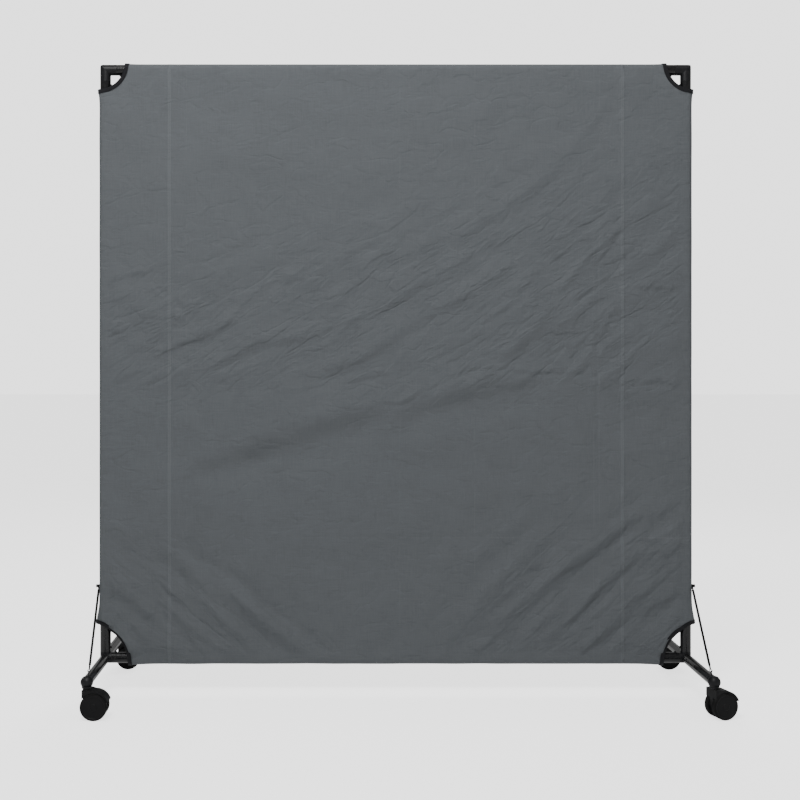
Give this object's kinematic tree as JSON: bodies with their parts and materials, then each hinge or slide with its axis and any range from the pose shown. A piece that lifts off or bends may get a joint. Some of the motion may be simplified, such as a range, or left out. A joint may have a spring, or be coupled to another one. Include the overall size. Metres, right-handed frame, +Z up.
{
  "type": "rolling partition wall",
  "caption": "Free-standing rolling room divider: a taut canvas cover over a rectangular tube frame, on braced cross legs with twin-wheel swivel casters.",
  "frame": {"origin": "on the floor, under the middle of the panel", "axes": "+X along the panel to the viewer's right, +Y from the front to the back, +Z up"},
  "size_m": [1.8352, 0.6396, 1.8829],
  "materials": {
    "canvas": "slate blue-grey woven canvas",
    "binding_tape": "black woven tape",
    "fitting_plastic": "satin dark grey moulding",
    "caster_plastic": "dark grey nylon",
    "tread_rubber": "black tread",
    "black_tube": "gloss black powder coat",
    "plated_steel": "zinc plated",
    "spring_steel": "spring steel",
    "button_steel": "blackened",
    "anchor_steel": "black",
    "stay_cord": "black sheathed cord"
  },
  "bodies": {
    "frame": {"top_rail": "black_tube", "bottom_rail": "black_tube", "left_post": "black_tube", "right_post": "black_tube", "elbow_left": "fitting_plastic", "elbow_right": "fitting_plastic", "foot_connector_left": "fitting_plastic", "foot_connector_right": "fitting_plastic", "caster_stems": "plated_steel", "snap_clips": "spring_steel", "canvas_left": "canvas", "canvas_centre": "canvas", "canvas_right": "canvas", "corner_bindings": "binding_tape", "stay_anchors": "anchor_steel", "leg_front_left": "black_tube", "caster_socket_front_left": "fitting_plastic", "stay_front_left": "stay_cord", "leg_front_right": "black_tube", "caster_socket_front_right": "fitting_plastic", "stay_front_right": "stay_cord", "leg_rear_left": "black_tube", "caster_socket_rear_left": "fitting_plastic", "stay_rear_left": "stay_cord", "leg_rear_right": "black_tube", "caster_socket_rear_right": "fitting_plastic", "stay_rear_right": "stay_cord"},
    "caster_front_left": {"caster_hood_front_left": "caster_plastic", "caster_axle_front_left": "plated_steel"},
    "wheel_front_left_outer_body": {"wheel_front_left_outer": "caster_plastic", "tread_front_left_outer": "tread_rubber"},
    "wheel_front_left_inner_body": {"wheel_front_left_inner": "caster_plastic", "tread_front_left_inner": "tread_rubber"},
    "caster_front_right": {"caster_hood_front_right": "caster_plastic", "caster_axle_front_right": "plated_steel"},
    "wheel_front_right_outer_body": {"wheel_front_right_outer": "caster_plastic", "tread_front_right_outer": "tread_rubber"},
    "wheel_front_right_inner_body": {"wheel_front_right_inner": "caster_plastic", "tread_front_right_inner": "tread_rubber"},
    "caster_rear_left": {"caster_hood_rear_left": "caster_plastic", "caster_axle_rear_left": "plated_steel"},
    "wheel_rear_left_outer_body": {"wheel_rear_left_outer": "caster_plastic", "tread_rear_left_outer": "tread_rubber"},
    "wheel_rear_left_inner_body": {"wheel_rear_left_inner": "caster_plastic", "tread_rear_left_inner": "tread_rubber"},
    "caster_rear_right": {"caster_hood_rear_right": "caster_plastic", "caster_axle_rear_right": "plated_steel"},
    "wheel_rear_right_outer_body": {"wheel_rear_right_outer": "caster_plastic", "tread_rear_right_outer": "tread_rubber"},
    "wheel_rear_right_inner_body": {"wheel_rear_right_inner": "caster_plastic", "tread_rear_right_inner": "tread_rubber"},
    "button_top_rail_left": {"snap_button_top_rail_left": "button_steel"},
    "button_bottom_rail_left": {"snap_button_bottom_rail_left": "button_steel"},
    "button_post_top_left": {"snap_button_post_top_left": "button_steel"},
    "button_post_bottom_left": {"snap_button_post_bottom_left": "button_steel"},
    "button_top_rail_right": {"snap_button_top_rail_right": "button_steel"},
    "button_bottom_rail_right": {"snap_button_bottom_rail_right": "button_steel"},
    "button_post_top_right": {"snap_button_post_top_right": "button_steel"},
    "button_post_bottom_right": {"snap_button_post_bottom_right": "button_steel"}
  },
  "joints": [
    {"name": "swivel_front_left", "type": "hinge", "parent": "frame", "child": "caster_front_left", "pos_m": [-0.8701, -0.29, 0.102], "axis": [0, 0, 1], "continuous": true},
    {"name": "roll_front_left_outer", "type": "hinge", "parent": "caster_front_left", "child": "wheel_front_left_outer_body", "pos_m": [-0.8481, -0.29, 0.0375], "axis": [0, 1, 0], "continuous": true},
    {"name": "roll_front_left_inner", "type": "hinge", "parent": "caster_front_left", "child": "wheel_front_left_inner_body", "pos_m": [-0.8481, -0.29, 0.0375], "axis": [0, 1, 0], "continuous": true},
    {"name": "swivel_front_right", "type": "hinge", "parent": "frame", "child": "caster_front_right", "pos_m": [0.8701, -0.29, 0.102], "axis": [0, 0, 1], "continuous": true},
    {"name": "roll_front_right_outer", "type": "hinge", "parent": "caster_front_right", "child": "wheel_front_right_outer_body", "pos_m": [0.89125, -0.28394, 0.0375], "axis": [-0.2756, 0.9613, 0], "continuous": true},
    {"name": "roll_front_right_inner", "type": "hinge", "parent": "caster_front_right", "child": "wheel_front_right_inner_body", "pos_m": [0.89125, -0.28394, 0.0375], "axis": [-0.2756, 0.9613, 0], "continuous": true},
    {"name": "swivel_rear_left", "type": "hinge", "parent": "frame", "child": "caster_rear_left", "pos_m": [-0.8701, 0.29, 0.102], "axis": [0, 0, 1], "continuous": true},
    {"name": "roll_rear_left_outer", "type": "hinge", "parent": "caster_rear_left", "child": "wheel_rear_left_outer_body", "pos_m": [-0.84818, 0.29192, 0.0375], "axis": [-0.0872, 0.9962, 0], "continuous": true},
    {"name": "roll_rear_left_inner", "type": "hinge", "parent": "caster_rear_left", "child": "wheel_rear_left_inner_body", "pos_m": [-0.84818, 0.29192, 0.0375], "axis": [-0.0872, 0.9962, 0], "continuous": true},
    {"name": "swivel_rear_right", "type": "hinge", "parent": "frame", "child": "caster_rear_right", "pos_m": [0.8701, 0.29, 0.102], "axis": [0, 0, 1], "continuous": true},
    {"name": "roll_rear_right_outer", "type": "hinge", "parent": "caster_rear_right", "child": "wheel_rear_right_outer_body", "pos_m": [0.89198, 0.2877, 0.0375], "axis": [0.1045, 0.9945, 0], "continuous": true},
    {"name": "roll_rear_right_inner", "type": "hinge", "parent": "caster_rear_right", "child": "wheel_rear_right_inner_body", "pos_m": [0.89198, 0.2877, 0.0375], "axis": [0.1045, 0.9945, 0], "continuous": true},
    {"name": "press_top_rail_left", "type": "slide", "parent": "frame", "child": "button_top_rail_left", "axis": [0, 0, 1], "range_m": [0, 0.0055], "stiffness_N_per_m": 3000, "springref_m": -0.002},
    {"name": "press_bottom_rail_left", "type": "slide", "parent": "frame", "child": "button_bottom_rail_left", "axis": [0, 0, -1], "range_m": [0, 0.0055], "stiffness_N_per_m": 3000, "springref_m": -0.002},
    {"name": "press_post_top_left", "type": "slide", "parent": "frame", "child": "button_post_top_left", "axis": [-1, 0, 0], "range_m": [0, 0.0055], "stiffness_N_per_m": 3000, "springref_m": -0.002},
    {"name": "press_post_bottom_left", "type": "slide", "parent": "frame", "child": "button_post_bottom_left", "axis": [-1, 0, 0], "range_m": [0, 0.0055], "stiffness_N_per_m": 3000, "springref_m": -0.002},
    {"name": "press_top_rail_right", "type": "slide", "parent": "frame", "child": "button_top_rail_right", "axis": [0, 0, 1], "range_m": [0, 0.0055], "stiffness_N_per_m": 3000, "springref_m": -0.002},
    {"name": "press_bottom_rail_right", "type": "slide", "parent": "frame", "child": "button_bottom_rail_right", "axis": [0, 0, -1], "range_m": [0, 0.0055], "stiffness_N_per_m": 3000, "springref_m": -0.002},
    {"name": "press_post_top_right", "type": "slide", "parent": "frame", "child": "button_post_top_right", "axis": [1, 0, 0], "range_m": [0, 0.0055], "stiffness_N_per_m": 3000, "springref_m": -0.002},
    {"name": "press_post_bottom_right", "type": "slide", "parent": "frame", "child": "button_post_bottom_right", "axis": [1, 0, 0], "range_m": [0, 0.0055], "stiffness_N_per_m": 3000, "springref_m": -0.002}
  ]
}
